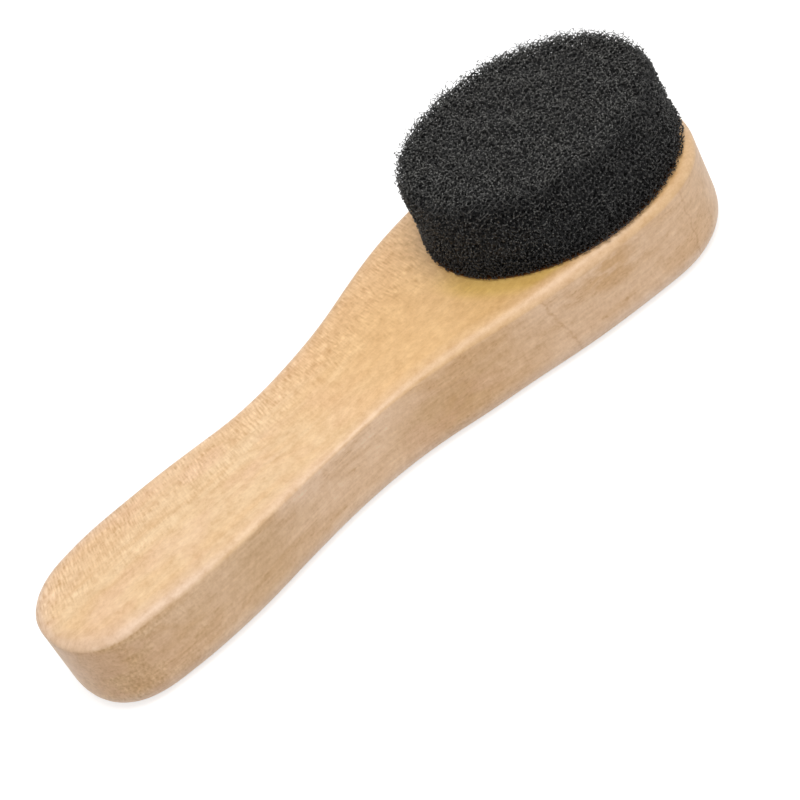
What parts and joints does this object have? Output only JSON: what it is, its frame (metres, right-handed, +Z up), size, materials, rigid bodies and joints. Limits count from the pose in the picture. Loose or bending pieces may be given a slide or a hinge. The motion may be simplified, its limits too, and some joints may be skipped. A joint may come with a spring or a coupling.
{
  "type": "shoe polish dauber",
  "caption": "Flat wooden paddle with softly rounded edges and a thick oval open-cell foam pad glued on its broad head, for spreading shoe polish.",
  "frame": {"origin": "centre of the overall box on the flat underside of the handle, which the object lies on", "axes": "+X along the handle from the grip to the front of the head, +Y across the head, +Z up from the underside through the foam pad"},
  "size_m": [0.15, 0.0528, 0.0327],
  "materials": {
    "beech": "satin",
    "glue": "gloss",
    "foam": "matte"
  },
  "bodies": {
    "root": {"handle": "beech", "adhesive_layer": "glue", "sponge": "foam"}
  },
  "joints": []
}
